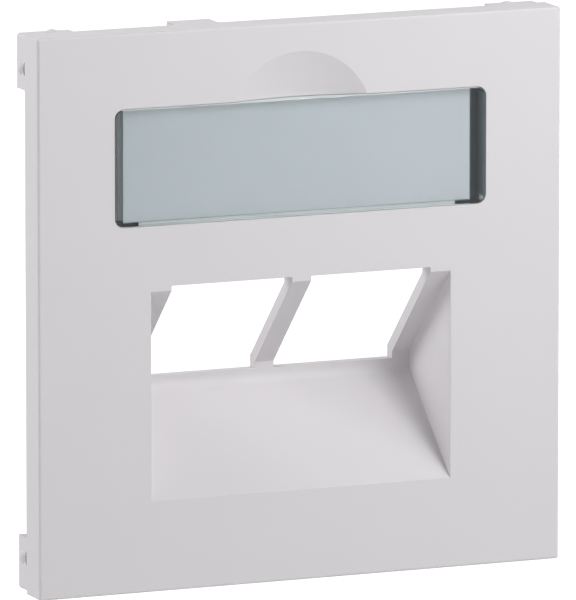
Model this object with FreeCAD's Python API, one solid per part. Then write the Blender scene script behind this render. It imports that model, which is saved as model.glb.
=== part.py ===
# Square centre plate for a two-port data outlet, with a clear label window and the card behind it.
# Millimetres. X points right and Z up as the plate hangs on the wall, and the face looks along -Y.
# The origin is the middle of the plate at its seat, which is the rear of the corner lugs.
import FreeCAD, Part
import math
import os

Vector = FreeCAD.Vector

# Face and skirt
plate_width = 55.0
plate_height = 55.0
front_wall = 2.0
skirt_wall = 1.5
skirt_depth = 3.4           # from the face to the skirt's rear edge
edge_radius = 0.25          # the four corners and the edges round the face

# Corner lugs and locating tab, which stand behind the skirt
lug_reach = 2.55            # from the skirt's rear edge to the seat
lug_length = 5.55           # from the plate's side to the lug's end, both ways from a corner
lug_inset = 0.2             # the lug's outer faces lie this far inside the skirt's
lug_corner_radius = 0.35
lug_foot_radius = 0.4       # fillet where a lug or the tab rises from the skirt
tab_width = 4.4
tab_centre_x = -9.5         # on the top edge only

# Snap nub on each outer face of a lug, and the half-round relief in front of it
nub_radius = 0.68
nub_height = 0.28
nub_from_side = 3.5
nub_from_seat = 0.9
relief_radius = 0.8
relief_setback = 0.1        # the relief's axis behind the skirt's rear edge
relief_depth = 0.9

# Label window: the opening in the face, the clear pane that fills it and the pane's end legs
window_from_top = 7.37      # from the plate's top edge to the opening
window_width = 39.1
window_height = 11.6
window_corner_radius = 0.95
window_clearance = 0.05     # between the pane and the opening, and a leg and its well
window_thickness = 1.5
window_edge_radius = 0.12
leg_length = 2.2            # behind the pane
leg_end_clearance = 0.3     # between a leg's end and the bottom of its well

# Label card and the pocket that holds it
card_thickness = 0.25
card_gap = 0.05             # between the pane and the card
card_top_gap = 0.1
ledge_height = 0.32         # the card stands on a ledge along the opening's lower edge
pocket_floor = 1.0
pocket_wall = 1.2
well_width = 1.27           # end wells for the legs, outside the card's ends
well_foot_length = 2.9      # the wells turn along the lower edge, this far from the opening's end

# Thumb scoop above the window: a dish with a round rim
scoop_radius = 7.56
scoop_drop = 2.96           # the rim's centre below the window's upper edge
scoop_depth = 1.48

# Outlet hood: a slanted port plate, a short upright sill and a ramp back to the face
mouth_top = 2.08            # Z of the upper edge of the hood's mouth
hood_depth = 9.45
hood_wall = 1.2
port_slant = 45.0           # degrees between the port plate and the face
ramp_slant = 45.0
sill_height = 1.7
sill_fillet = 1.5           # where the sill runs into the ramp
side_draft = 2.0            # degrees
port_width = 12.65
port_divider = 2.0
port_margin = 2.15          # from a port's outer side to the side of the hood's mouth
port_notch = 0.48           # the ports cut this far into the face above the mouth
port_sill_cut = 0.65        # and this far into the sill

# Places worked out from the sizes above
half_width = plate_width / 2
half_height = plate_height / 2
seat_depth = skirt_depth + lug_reach
face_y = -seat_depth
window_top = half_height - window_from_top
window_bottom = window_top - window_height
window_side = window_width / 2
card_front = window_thickness + card_gap
pocket_depth = card_front + card_thickness
card_side = window_side - well_width
well_depth = window_thickness + leg_length + leg_end_clearance
port_outer = port_divider / 2 + port_width
mouth_side = port_outer + port_margin
port_drop = hood_depth / math.tan(math.radians(port_slant))
ramp_drop = hood_depth / math.tan(math.radians(ramp_slant))
sill_top = mouth_top - port_drop
sill_bottom = sill_top - sill_height
mouth_bottom = sill_bottom - ramp_drop
hood_rear = hood_depth + hood_wall
overcut = 1.0               # how far a cut runs past the surface it opens
fillet_share = 0.9          # the most of its wall that a fillet may take
same_place = 1e-6           # distance below which two points are one


def block(left, right, front, rear, bottom, top):
    """Box between two X values, two depths behind the face and two Z values."""
    corner = Vector(left, face_y + front, bottom)
    return Part.makeBox(right - left, rear - front, top - bottom, corner)


def edges_along_y(box):
    """The four edges of a box that run from front to back."""
    return [e for e in box.Edges if abs(e.Vertexes[0].Y - e.Vertexes[1].Y) > same_place]


def rounded_block(side, bottom, top, radius, front, rear):
    """Box with its corners rounded as seen from the front, symmetric about X = 0."""
    solid = block(-side, side, front, rear, bottom, top)
    return solid.makeFillet(radius, edges_along_y(solid))


def face_loop(solid):
    """Edges of a solid that lie in the plane of the plate's face."""
    return [e for e in solid.Edges if all(abs(v.Y - face_y) < same_place for v in e.Vertexes)]


def side_profile(points, left, right):
    """Prism along X from points given as depth behind the face and Z."""
    corners = [Vector(left, face_y + depth, z) for depth, z in points]
    outline = Part.makePolygon(corners + corners[:1])
    return Part.Face(outline).extrude(Vector(right - left, 0, 0))


def plan_profile(points, bottom, top):
    """Prism along Z from points given as X and depth behind the face."""
    corners = [Vector(x, face_y + depth, bottom) for x, depth in points]
    outline = Part.makePolygon(corners + corners[:1])
    return Part.Face(outline).extrude(Vector(0, 0, top - bottom))


def mirrored_x(solid):
    return solid.mirror(Vector(0, 0, 0), Vector(1, 0, 0))


def mirrored_z(solid):
    return solid.mirror(Vector(0, 0, 0), Vector(0, 0, 1))


def foot_fillet(start, out, across):
    """Concave fillet on the skirt's rear edge. start is its inner corner, out the way it tapers off along
    the skirt, and across the way and distance it runs through the wall."""
    back = Vector(0, lug_foot_radius, 0)
    away = out * lug_foot_radius
    centre = start + away + back
    middle = centre - (away + back) * math.sqrt(0.5)
    arc = Part.Arc(start + away, middle, start + back).toShape()
    sides = [Part.makeLine(start + back, start), Part.makeLine(start, start + away)]
    return Part.Face(Part.Wire([arc] + sides)).extrude(across)


def plate_shell():
    """Face and skirt, open at the back."""
    shell = block(-half_width, half_width, 0, skirt_depth, -half_height, half_height)
    shell = shell.makeFillet(edge_radius, edges_along_y(shell) + face_loop(shell))
    inner_x = half_width - skirt_wall
    inner_z = half_height - skirt_wall
    hollow = block(-inner_x, inner_x, front_wall, skirt_depth + overcut, -inner_z, inner_z)
    return shell.cut(hollow)


def snap_nub(centre, outward):
    """Low dome on a lug's outer face: a sphere cut off where it enters the face."""
    sphere_radius = (nub_radius ** 2 + nub_height ** 2) / (2 * nub_height)
    rise = sphere_radius - nub_height
    cut_off = math.degrees(math.asin(rise / sphere_radius))
    return Part.makeSphere(sphere_radius, centre - outward * rise, outward, cut_off, 90, 360)


def lug_relief(centre, outward):
    """Half-round recess behind the skirt's rear edge, in a lug's outer face."""
    bore = Part.makeCylinder(relief_radius, relief_depth + overcut, centre - outward * relief_depth, outward)
    behind_skirt = block(-plate_width, plate_width, skirt_depth, seat_depth, -plate_height, plate_height)
    return bore.common(behind_skirt)


def corner_lug():
    """The lug of the upper right corner: an L seen from the front, with a nub and a relief on each leg."""
    outer_x = half_width - lug_inset
    outer_z = half_height - lug_inset
    inner_x = half_width - skirt_wall
    inner_z = half_height - skirt_wall
    end_x = half_width - lug_length
    end_z = half_height - lug_length
    lug = block(end_x, outer_x, front_wall, seat_depth, end_z, outer_z)
    corner_edge = max(edges_along_y(lug), key=lambda e: e.CenterOfMass.x + e.CenterOfMass.z)
    lug = lug.makeFillet(lug_corner_radius, [corner_edge])
    lug = lug.cut(block(end_x - overcut, inner_x, 0, seat_depth + overcut, end_z - overcut, inner_z))
    skirt_y = face_y + skirt_depth
    wall = skirt_wall - lug_inset
    top_foot = foot_fillet(Vector(end_x, skirt_y, inner_z), Vector(-1, 0, 0), Vector(0, 0, wall))
    side_foot = foot_fillet(Vector(inner_x, skirt_y, end_z), Vector(0, 0, -1), Vector(wall, 0, 0))
    nub_y = -nub_from_seat
    relief_y = skirt_y + relief_setback
    along_x = half_width - nub_from_side
    along_z = half_height - nub_from_side
    up = Vector(0, 0, 1)
    right = Vector(1, 0, 0)
    lug = lug.multiFuse([top_foot, side_foot])
    lug = lug.cut(lug_relief(Vector(along_x, relief_y, outer_z), up))
    lug = lug.cut(lug_relief(Vector(outer_x, relief_y, along_z), right))
    top_nub = snap_nub(Vector(along_x, nub_y, outer_z), up)
    side_nub = snap_nub(Vector(outer_x, nub_y, along_z), right)
    return lug.multiFuse([top_nub, side_nub])


def corner_lugs():
    upper_right = corner_lug()
    lower_right = mirrored_z(upper_right)
    return [upper_right, lower_right, mirrored_x(upper_right), mirrored_x(lower_right)]


def locating_tab():
    """Tab flush with the top of the skirt, off centre so that the plate goes in one way up."""
    left = tab_centre_x - tab_width / 2
    right = tab_centre_x + tab_width / 2
    inner_z = half_height - skirt_wall
    skirt_y = face_y + skirt_depth
    through_wall = Vector(0, 0, skirt_wall)
    tab = block(left, right, front_wall, seat_depth, inner_z, half_height)
    left_foot = foot_fillet(Vector(left, skirt_y, inner_z), Vector(-1, 0, 0), through_wall)
    right_foot = foot_fillet(Vector(right, skirt_y, inner_z), Vector(1, 0, 0), through_wall)
    return tab.multiFuse([left_foot, right_foot])


def label_tray():
    """Floor and walls behind the window opening, with a deeper L-shaped housing round each end well."""
    bottom = window_bottom - pocket_wall
    top = window_top + pocket_wall
    side = window_side + pocket_wall
    floor = block(-side, side, 0, pocket_depth + pocket_floor, bottom, top)
    housing_rear = well_depth + pocket_floor
    end = block(card_side - pocket_wall, side, 0, housing_rear, bottom, top)
    foot_inner = window_side - well_foot_length - pocket_wall
    foot_top = window_bottom + ledge_height + pocket_wall
    foot = block(foot_inner, side, 0, housing_rear, bottom, foot_top)
    return floor.multiFuse([end, foot, mirrored_x(end), mirrored_x(foot)])


def label_recess():
    """Space cut for the pane, the card and the pane's legs. The card's ledge is left standing."""
    radius = window_corner_radius
    pocket = rounded_block(window_side, window_bottom, window_top, radius, -overcut, pocket_depth)
    ledge_end = window_side - well_foot_length
    ledge_top = window_bottom + ledge_height
    ledge = block(-ledge_end, ledge_end, card_front, pocket_depth, window_bottom, ledge_top)
    outline = rounded_block(window_side, window_bottom, window_top, radius, 0, well_depth)
    end = block(card_side, window_side, 0, well_depth, window_bottom, window_top)
    foot = block(ledge_end, window_side, 0, well_depth, window_bottom, ledge_top)
    well = outline.common(end.fuse(foot))
    return pocket.cut(ledge).multiFuse([well, mirrored_x(well)])


def thumb_scoop():
    """Dish that lets a thumbnail reach the pane's upper edge."""
    sphere_radius = (scoop_radius ** 2 + scoop_depth ** 2) / (2 * scoop_depth)
    centre = Vector(0, face_y + scoop_depth - sphere_radius, window_top - scoop_drop)
    above_window = block(-half_width, half_width, -overcut, front_wall, window_top, half_height)
    return Part.makeSphere(sphere_radius, centre).common(above_window)


def hood_plan(side, rear):
    """Plan of the hood at full height: its sides draw in towards the back."""
    rear_side = side - rear * math.tan(math.radians(side_draft))
    corners = [(-side, 0), (side, 0), (rear_side, rear), (-rear_side, rear)]
    return plan_profile(corners, -half_height, half_height)


def outlet_hood():
    """Outer form of the hood behind the face."""
    top = mouth_top + hood_wall / math.sin(math.radians(port_slant))
    bottom = mouth_bottom - hood_wall / math.sin(math.radians(ramp_slant))
    rear_top = top - hood_rear / math.tan(math.radians(port_slant))
    rear_bottom = bottom + hood_rear / math.tan(math.radians(ramp_slant))
    points = [(0, top), (hood_rear, rear_top), (hood_rear, rear_bottom), (0, bottom)]
    side = mouth_side + hood_wall
    return side_profile(points, -side, side).common(hood_plan(side, hood_rear))


def outlet_recess():
    """Space inside the hood, with the sill filleted into the ramp."""
    points = [(0, mouth_top), (hood_depth, sill_top), (hood_depth, sill_bottom), (0, mouth_bottom)]
    recess = side_profile(points, -mouth_side, mouth_side).common(hood_plan(mouth_side, hood_depth))
    foot = [e for e in recess.Edges if all(abs(v.Z - sill_bottom) < same_place for v in e.Vertexes)]
    turn = math.tan(math.radians(ramp_slant / 2))
    return recess.makeFillet(min(sill_fillet, fillet_share * sill_height / turn), foot)


def ports():
    """The two port openings, cut straight back through the port plate."""
    bottom = sill_top - port_sill_cut
    top = mouth_top + port_notch
    right = block(port_divider / 2, port_outer, -overcut, hood_rear + overcut, bottom, top)
    return [right, mirrored_x(right)]


def centre_plate():
    added = [outlet_hood(), label_tray(), locating_tab()] + corner_lugs()
    plate = plate_shell().multiFuse(added)
    plate = plate.cut(label_recess()).cut(thumb_scoop()).cut(outlet_recess())
    for port in ports():
        plate = plate.cut(port)
    return plate.removeSplitter()


def label_window():
    """Clear pane flush with the face, with an L-shaped leg behind each end that fills the well there."""
    side = window_side - window_clearance
    bottom = window_bottom + window_clearance
    top = window_top - window_clearance
    radius = window_corner_radius - window_clearance
    pane = rounded_block(side, bottom, top, radius, 0, window_thickness)
    pane = pane.makeFillet(window_edge_radius, face_loop(pane))
    leg_rear = window_thickness + leg_length
    outline = rounded_block(side, bottom, top, radius, window_thickness, leg_rear)
    end = block(card_side + window_clearance, side, window_thickness, leg_rear, bottom, top)
    foot_inner = window_side - well_foot_length + window_clearance
    foot_top = window_bottom + ledge_height - window_clearance
    foot = block(foot_inner, side, window_thickness, leg_rear, bottom, foot_top)
    leg = outline.common(end.fuse(foot))
    return pane.multiFuse([leg, mirrored_x(leg)]).removeSplitter()


def label_card():
    """Card that stands on the pocket's ledge, flat against its floor."""
    bottom = window_bottom + ledge_height
    top = window_top - card_top_gap
    return block(-card_side, card_side, card_front, pocket_depth, bottom, top)


os.makedirs("parts", exist_ok=True)
centre_plate().exportStep("parts/centre_plate.step")
label_window().exportStep("parts/label_window.step")
label_card().exportStep("parts/label_card.step")
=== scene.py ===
import bpy
import bmesh
import math
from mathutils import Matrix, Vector


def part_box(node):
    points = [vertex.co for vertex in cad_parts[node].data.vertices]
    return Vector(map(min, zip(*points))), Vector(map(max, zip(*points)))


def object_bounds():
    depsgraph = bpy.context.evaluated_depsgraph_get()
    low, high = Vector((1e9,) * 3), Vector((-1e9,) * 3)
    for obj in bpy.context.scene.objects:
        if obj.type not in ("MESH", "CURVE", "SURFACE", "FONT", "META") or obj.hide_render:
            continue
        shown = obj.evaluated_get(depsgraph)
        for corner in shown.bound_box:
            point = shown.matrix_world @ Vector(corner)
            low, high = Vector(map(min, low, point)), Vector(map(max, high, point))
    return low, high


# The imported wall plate, in metres. The face looks along -Y, and Y = 0 is the rear of the corner lugs.
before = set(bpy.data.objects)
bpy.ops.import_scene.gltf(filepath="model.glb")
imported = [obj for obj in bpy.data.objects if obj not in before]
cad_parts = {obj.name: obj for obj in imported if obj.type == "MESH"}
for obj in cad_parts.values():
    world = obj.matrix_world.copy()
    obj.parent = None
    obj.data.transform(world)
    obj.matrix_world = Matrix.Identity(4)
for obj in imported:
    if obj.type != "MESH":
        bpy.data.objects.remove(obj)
cad_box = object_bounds()

# Centre plate: one moulding with face, skirt, lugs, scoop, label pocket and port hood.
# It is injection-moulded ABS in off-white, from a finely spark-eroded tool, so the face is satin.
# The corner lugs snap into the outlet's carrier behind the cover frame.
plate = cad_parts["centre_plate"]
plate_colour = "#dbd8db"
plate_drift_colour = "#d9d6d9"
plate_drift = 0.006            # length of the soft tone changes that the melt's flow leaves
plate_grain = 0.00012          # spacing of the tool's texture: real grain is finer and would not show
plate_grain_depth = 0.00002
plate_grain_strength = 0.05    # the texture is faint, so the face still reads as flat
plate_edge = 0.00008           # rounding that a mould leaves on every edge
plate_least_roughness = 0.52   # of the satin face, which varies a little with the drift
plate_most_roughness = 0.58
abs_ior = 1.53


def srgb(code):
    """Linear colour of an sRGB hex value."""
    shares = [int(code[i:i + 2], 16) / 255 for i in (1, 3, 5)]
    return [s / 12.92 if s <= 0.04045 else ((s + 0.055) / 1.055) ** 2.4 for s in shares] + [1.0]


def add_node(tree, kind, inputs=(), **settings):
    """One node, with its own settings and with a value or another node's output for each named input."""
    node = tree.nodes.new(kind)
    for name, value in settings.items():
        setattr(node, name, value)
    for name, value in dict(inputs).items():
        if isinstance(value, bpy.types.NodeSocket):
            tree.links.new(value, node.inputs[name])
        else:
            node.inputs[name].default_value = value
    return node


def new_material(name):
    """An empty material and its node tree."""
    material = bpy.data.materials.new(name)
    material.use_nodes = True
    material.node_tree.nodes.clear()
    return material, material.node_tree


# Spark-eroded ABS: an even off-white with a soft, broad sheen and no clear mirror image.
# The grain breaks the sheen up a little, and the melt's flow leaves the faintest drift of tone.
plate_abs, tree = new_material("satin_moulded_abs")
place = add_node(tree, "ShaderNodeTexCoord")
drift = add_node(tree, "ShaderNodeTexNoise", {
    "Vector": place.outputs["Object"],
    "Scale": 1 / plate_drift,
    "Detail": 3.0,
    "Roughness": 0.5,
})
tone = add_node(tree, "ShaderNodeMix", {
    "Factor": drift.outputs["Fac"],
    "A": srgb(plate_colour),
    "B": srgb(plate_drift_colour),
}, data_type="RGBA")
sheen = add_node(tree, "ShaderNodeMapRange", {
    "Value": drift.outputs["Fac"],
    "To Min": plate_least_roughness,
    "To Max": plate_most_roughness,
})
grain = add_node(tree, "ShaderNodeTexNoise", {
    "Vector": place.outputs["Object"],
    "Scale": 1 / plate_grain,
    "Detail": 2.0,
    "Roughness": 0.5,
})
soft_edge = add_node(tree, "ShaderNodeBevel", {"Radius": plate_edge}, samples=4)
relief = add_node(tree, "ShaderNodeBump", {
    "Strength": plate_grain_strength,
    "Distance": plate_grain_depth,
    "Height": grain.outputs["Fac"],
    "Normal": soft_edge.outputs["Normal"],
})
finish = add_node(tree, "ShaderNodeBsdfPrincipled", {
    "Base Color": tone.outputs["Result"],
    "Roughness": sheen.outputs["Result"],
    "IOR": abs_ior,
    "Normal": relief.outputs["Normal"],
})
add_node(tree, "ShaderNodeOutputMaterial", {"Surface": finish.outputs["BSDF"]})
plate.material_slots[0].material = plate_abs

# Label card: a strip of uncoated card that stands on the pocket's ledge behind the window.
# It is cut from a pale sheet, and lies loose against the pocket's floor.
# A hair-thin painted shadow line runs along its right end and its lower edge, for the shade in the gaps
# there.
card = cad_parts["label_card"]
card_colour = "#dcd9e2"
card_fleck_and_shade_colour = "#cbcad1"
# painted shadow: colour of the thin dark lines along the card's right end and lower edge
card_shadow_line_colour = "#1c2226"
card_left_shade = 0.85             # how much darker tone is painted at its left end, as painted shade
card_fleck = 0.15              # how much of it a fibre adds
card_fibre = 0.0008            # length of a paper fibre
card_shadow_line_end = 0.00005        # width of the painted shadow line on the right end
card_shadow_line_edge = 0.00003       # and on the lower edge
card_roughness = 0.9
card_low, card_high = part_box("label_card")

# Uncoated card: dull, with flecks of tone where the fibres lie, and no sheen at all.
# It is painted a little darker towards its left end, as painted shade of the light that falls from the
# right.
card_paper, tree = new_material("uncoated_card")
place = add_node(tree, "ShaderNodeTexCoord")
spot = add_node(tree, "ShaderNodeSeparateXYZ", {"Vector": place.outputs["Object"]})
fibres = add_node(tree, "ShaderNodeTexNoise", {
    "Vector": place.outputs["Object"],
    "Scale": 1 / card_fibre,
    "Detail": 4.0,
    "Roughness": 0.6,
})
# painted shade: darker towards the left end
left_painted_shade = add_node(tree, "ShaderNodeMapRange", {
    "Value": spot.outputs["X"],
    "From Min": card_low.x,
    "From Max": card_high.x,
    "To Min": card_left_shade,
    "To Max": 0.0,
})
# the fibre flecks together with the painted shade
flecks_and_painted_shade = add_node(tree, "ShaderNodeMath", {
    0: fibres.outputs["Fac"],
    1: card_fleck,
    2: left_painted_shade.outputs["Result"],
}, operation="MULTIPLY_ADD")
tone = add_node(tree, "ShaderNodeMix", {
    "Factor": flecks_and_painted_shade.outputs["Value"],
    "A": srgb(card_colour),
    "B": srgb(card_fleck_and_shade_colour),
}, data_type="RGBA")
# painted shadow lines along the right end and the lower edge
right_end_shadow_mask = add_node(tree, "ShaderNodeMath", {
    0: spot.outputs["X"],
    1: card_high.x - card_shadow_line_end,
}, operation="GREATER_THAN")
lower_edge_shadow_mask = add_node(tree, "ShaderNodeMath", {
    0: spot.outputs["Z"],
    1: card_low.z + card_shadow_line_edge,
}, operation="LESS_THAN")
painted_shadow_line_mask = add_node(tree, "ShaderNodeMath", {
    0: right_end_shadow_mask.outputs["Value"],
    1: lower_edge_shadow_mask.outputs["Value"],
}, operation="MAXIMUM")
shadow_line_tone = add_node(tree, "ShaderNodeMix", {
    "Factor": painted_shadow_line_mask.outputs["Value"],
    "A": tone.outputs["Result"],
    "B": srgb(card_shadow_line_colour),
}, data_type="RGBA")
finish = add_node(tree, "ShaderNodeBsdfPrincipled", {
    "Base Color": shadow_line_tone.outputs["Result"],
    "Roughness": card_roughness,
})
add_node(tree, "ShaderNodeOutputMaterial", {"Surface": finish.outputs["BSDF"]})
card.material_slots[0].material = card_paper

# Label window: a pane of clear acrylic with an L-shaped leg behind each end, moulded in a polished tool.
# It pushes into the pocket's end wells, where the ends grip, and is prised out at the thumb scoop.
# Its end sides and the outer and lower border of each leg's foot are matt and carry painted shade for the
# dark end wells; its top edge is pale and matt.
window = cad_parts["label_window"]
window_colour = "#f2f7f5"
window_edge_colour = "#d8dede"
window_end_shade_colour = "#8d9ba5"  # painted shade: an end side's colour at the face, from where it darkens to the foot's colour
# painted shade at the foot of each leg, the darkest part of the end wells
window_foot_shade_colour = "#445864"
window_tint = "#cbdee3"
window_density = 90.0          # how strongly the plastic tints, per metre
window_rim = 0.00005           # how far the matt edges reach round a corner
window_foot = 0.00052          # width of the painted-shade border along the outside of a leg's foot
window_toe = 0.0003            # width of the painted-shade border along its lower side
polished_roughness = 0.02
matt_roughness = 0.9
acrylic_ior = 1.49
window_low, window_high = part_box("label_window")

# Acrylic: clear and glossy, with a faint tint that shows more in the deep legs than in the thin pane.
# Where the edges are matt, they scatter the light that the pane carries to them; the dark of the ends and
# feet is painted shade.
window_acrylic, tree = new_material("clear_acrylic")
place = add_node(tree, "ShaderNodeTexCoord")
spot = add_node(tree, "ShaderNodeSeparateXYZ", {"Vector": place.outputs["Object"]})
from_middle = add_node(tree, "ShaderNodeMath", {0: spot.outputs["X"]}, operation="ABSOLUTE")
end_side = add_node(tree, "ShaderNodeMath", {
    0: from_middle.outputs["Value"],
    1: window_high.x - window_rim,
}, operation="GREATER_THAN")
leg_end = add_node(tree, "ShaderNodeMath", {
    0: spot.outputs["Y"],
    1: window_high.y - window_rim,
}, operation="GREATER_THAN")
leg_outside = add_node(tree, "ShaderNodeMath", {
    0: from_middle.outputs["Value"],
    1: window_high.x - window_foot,
}, operation="GREATER_THAN")
leg_low = add_node(tree, "ShaderNodeMath", {
    0: spot.outputs["Z"],
    1: window_low.z + window_toe,
}, operation="LESS_THAN")
leg_border = add_node(tree, "ShaderNodeMath", {
    0: leg_outside.outputs["Value"],
    1: leg_low.outputs["Value"],
}, operation="MAXIMUM")
foot_matt_and_painted_shade = add_node(tree, "ShaderNodeMath", {
    0: leg_end.outputs["Value"],
    1: leg_border.outputs["Value"],
}, operation="MINIMUM")
# matt edges at the ends and feet, which also carry the painted shade
matt_end_and_painted_shade = add_node(tree, "ShaderNodeMath", {
    0: end_side.outputs["Value"],
    1: foot_matt_and_painted_shade.outputs["Value"],
}, operation="MAXIMUM")
top_edge = add_node(tree, "ShaderNodeMath", {
    0: spot.outputs["Z"],
    1: window_high.z - window_rim,
}, operation="GREATER_THAN")
matt_edge = add_node(tree, "ShaderNodeMath", {
    0: matt_end_and_painted_shade.outputs["Value"],
    1: top_edge.outputs["Value"],
}, operation="MAXIMUM")
clearness = add_node(tree, "ShaderNodeMapRange", {
    "Value": matt_edge.outputs["Value"],
    "To Min": 1.0,
    "To Max": 0.0,
})
dullness = add_node(tree, "ShaderNodeMapRange", {
    "Value": matt_edge.outputs["Value"],
    "To Min": polished_roughness,
    "To Max": matt_roughness,
})
pane_tone = add_node(tree, "ShaderNodeMix", {
    "Factor": top_edge.outputs["Value"],
    "A": srgb(window_colour),
    "B": srgb(window_edge_colour),
}, data_type="RGBA")
depth = add_node(tree, "ShaderNodeMapRange", {
    "Value": spot.outputs["Y"],
    "From Min": window_low.y,
    "From Max": window_high.y,
})
# painted shade: darker from the face towards the foot, for the shade in the end wells
end_painted_shade_tone = add_node(tree, "ShaderNodeMix", {
    "Factor": depth.outputs["Result"],
    "A": srgb(window_end_shade_colour),
    "B": srgb(window_foot_shade_colour),
}, data_type="RGBA")
tone = add_node(tree, "ShaderNodeMix", {
    "Factor": matt_end_and_painted_shade.outputs["Value"],
    "A": pane_tone.outputs["Result"],
    "B": end_painted_shade_tone.outputs["Result"],
}, data_type="RGBA")
finish = add_node(tree, "ShaderNodeBsdfPrincipled", {
    "Base Color": tone.outputs["Result"],
    "Roughness": dullness.outputs["Result"],
    "IOR": acrylic_ior,
    "Transmission Weight": clearness.outputs["Result"],
})
tint = add_node(tree, "ShaderNodeVolumeAbsorption", {
    "Color": srgb(window_tint),
    "Density": window_density,
})
add_node(tree, "ShaderNodeOutputMaterial", {
    "Surface": finish.outputs["BSDF"],
    "Volume": tint.outputs["Volume"],
})
window.material_slots[0].material = window_acrylic

# Floor: a plain pale sheet below the plate, which is held up by its mount.
# It bounces light as a white floor does, and it is plain white to the camera, as the background is.
floor_colour = "#e6e6e6"
background_colour = "#ffffff"
floor_drop = 0.15
floor_size = 8.0
mesh = bpy.data.meshes.new("floor")
form = bmesh.new()
bmesh.ops.create_grid(form, x_segments=1, y_segments=1, size=floor_size / 2)
bmesh.ops.translate(form, verts=form.verts, vec=(0, 0, cad_box[0].z - floor_drop))
form.to_mesh(mesh)
form.free()
floor = bpy.data.objects.new("floor", mesh)
bpy.context.scene.collection.objects.link(floor)


def seen_share(tree):
    """1 for a ray that the camera, a mirror or clear plastic sends out, and 0 for the light's own rays."""
    ray = add_node(tree, "ShaderNodeLightPath")
    seen = ray.outputs["Is Camera Ray"]
    for name in ("Is Glossy Ray", "Is Transmission Ray"):
        either = add_node(tree, "ShaderNodeMath", {0: seen, 1: ray.outputs[name]}, operation="MAXIMUM")
        seen = either.outputs["Value"]
    return seen


white_sheet, tree = new_material("white_floor")
matt = add_node(tree, "ShaderNodeBsdfDiffuse", {"Color": srgb(floor_colour)})
plain = add_node(tree, "ShaderNodeEmission", {
    "Color": srgb(background_colour),
    "Strength": seen_share(tree),
})
both = add_node(tree, "ShaderNodeAddShader", {0: matt.outputs["BSDF"], 1: plain.outputs["Emission"]})
add_node(tree, "ShaderNodeOutputMaterial", {"Surface": both.outputs["Shader"]})
floor.data.materials.append(white_sheet)

# Studio light: a white surround, and soft boxes round the plate that all look at its middle.
# The key stands high on the right, so that the scoop and the port hood are shaded on that side.
surround_level = 0.27
lamp_distance = 0.25
lamp_size = 0.18
key_size = 0.07                # smaller than the rest, so that the hood's shadow has a firmer edge
world = bpy.data.worlds.new("white_surround")
bpy.context.scene.world = world
world.use_nodes = True
tree = world.node_tree
tree.nodes.clear()
fill = add_node(tree, "ShaderNodeBackground", {
    "Color": srgb(background_colour),
    "Strength": surround_level,
})
plain = add_node(tree, "ShaderNodeBackground", {
    "Color": srgb(background_colour),
    "Strength": 1.0,
})
both = add_node(tree, "ShaderNodeMixShader", {
    0: seen_share(tree),
    1: fill.outputs["Background"],
    2: plain.outputs["Background"],
})
add_node(tree, "ShaderNodeOutputWorld", {"Surface": both.outputs["Shader"]})


def way_to(azimuth, height):
    """Direction from the plate, by degrees to the right of its front and degrees above it."""
    turn = math.radians(azimuth)
    rise = math.radians(height)
    return Vector((math.sin(turn) * math.cos(rise), -math.cos(turn) * math.cos(rise), math.sin(rise)))


def soft_box(name, azimuth, height, power, size=lamp_size):
    """Square lamp that looks at the plate's middle."""
    lamp = bpy.data.lights.new(name, "AREA")
    lamp.size = size
    lamp.energy = power
    holder = bpy.data.objects.new(name, lamp)
    way = way_to(azimuth, height)
    holder.location = way * lamp_distance
    holder.rotation_mode = "QUATERNION"
    holder.rotation_quaternion = (-way).to_track_quat("-Z", "Y")
    holder.visible_camera = False
    bpy.context.scene.collection.objects.link(holder)


soft_box("key_high", azimuth=25, height=40, power=0.215, size=key_size)
soft_box("key_right", azimuth=40, height=20, power=0.275)
soft_box("low_left", azimuth=-62, height=-25, power=0.12)
soft_box("rear_left", azimuth=-120, height=31, power=0.36)
soft_box("rear_fill", azimuth=160, height=-35, power=0.15)

# Camera: a long lens a metre away, left of the plate and a little above it.
# Its place and lens are fitted to the plate's edges as they are seen, and it aims at a point of the face.
camera_lens = 677.25
camera_sensor = 36.0
camera_distance = 1.09685
camera_aim = Vector((-0.001442, cad_box[0].y, 0.000341))
camera_data = bpy.data.cameras.new("camera")
camera_data.sensor_width = camera_sensor
camera_data.lens = camera_lens
camera_data.clip_start = 0.01
camera_data.clip_end = 20.0
camera = bpy.data.objects.new("camera", camera_data)
way = way_to(azimuth=-22.83, height=9.954)
camera.location = camera_aim + way * camera_distance
camera.rotation_mode = "QUATERNION"
camera.rotation_quaternion = (-way).to_track_quat("-Z", "Y")
bpy.context.scene.collection.objects.link(camera)
bpy.context.scene.camera = camera
bpy.context.scene.view_settings.view_transform = "Standard"
